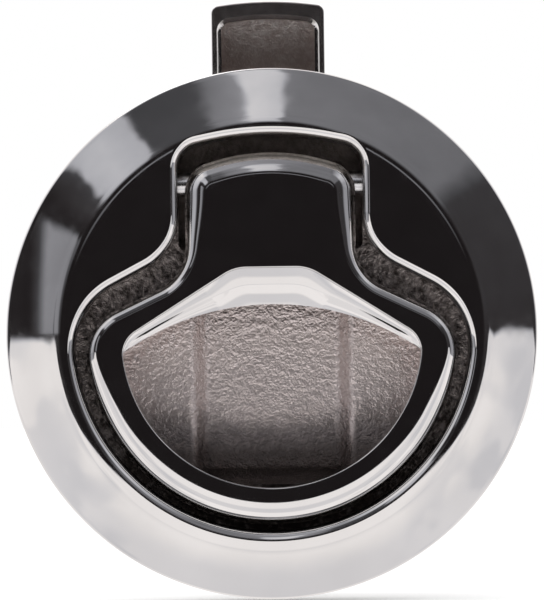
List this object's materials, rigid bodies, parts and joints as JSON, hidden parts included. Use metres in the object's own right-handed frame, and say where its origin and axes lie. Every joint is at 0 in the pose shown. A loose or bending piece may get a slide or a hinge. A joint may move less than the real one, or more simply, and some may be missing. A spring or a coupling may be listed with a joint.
{
  "type": "flush pull latch",
  "caption": "Round flush pull latch with a keyhole recess, a pivoting pull handle with a finger opening, and a spring bolt that it draws in.",
  "frame": {"origin": "on the latch's round axis, in the face of the panel it is fitted to", "axes": "-Y out of the panel towards the user, +Z along the bolt"},
  "size_m": [0.076, 0.0318, 0.0863],
  "materials": {
    "polished_steel": "polished",
    "cast_steel": "cast",
    "spring_steel": "satin",
    "plated_nut": "satin",
    "black_rubber": "matte",
    "black_nylon": "matte"
  },
  "bodies": {
    "root": {"housing": "polished_steel", "hinge_pin": "spring_steel", "hinge_spring": "spring_steel", "bolt_spring_left": "spring_steel", "bolt_spring_right": "spring_steel", "spring_guide_left": "spring_steel", "spring_guide_right": "spring_steel", "rear_cover": "cast_steel", "cover_gasket": "black_rubber", "cover_screw_1": "spring_steel", "cover_screw_2": "spring_steel", "cover_screw_3": "spring_steel", "cover_screw_4": "spring_steel", "mounting_nut": "plated_nut", "nut_washer": "black_nylon", "flange_gasket": "black_rubber", "handle_bumper_left": "black_rubber", "handle_bumper_right": "black_rubber"},
    "handle": {"pull_handle": "polished_steel"},
    "bolt": {"latch_bolt": "polished_steel"}
  },
  "joints": [
    {"name": "handle_pull", "type": "hinge", "parent": "root", "child": "handle", "pos_m": [0, 0.0014, 0.0215], "axis": [-1, 0, 0], "range_deg": [0, 38], "stiffness_Nm_per_rad": 0.12, "springref_deg": -28.65, "deforming": ["hinge_spring"]},
    {"name": "bolt_slide", "type": "slide", "parent": "root", "child": "bolt", "axis": [0, 0, -1], "range_m": [0, 0.01], "stiffness_N_per_m": 100, "springref_m": -0.015, "deforming": ["bolt_spring_left", "bolt_spring_right"]}
  ],
  "couplings": [
    {"joint": "bolt_slide", "follows": "handle_pull", "m_per_rad": 0.015077}
  ]
}
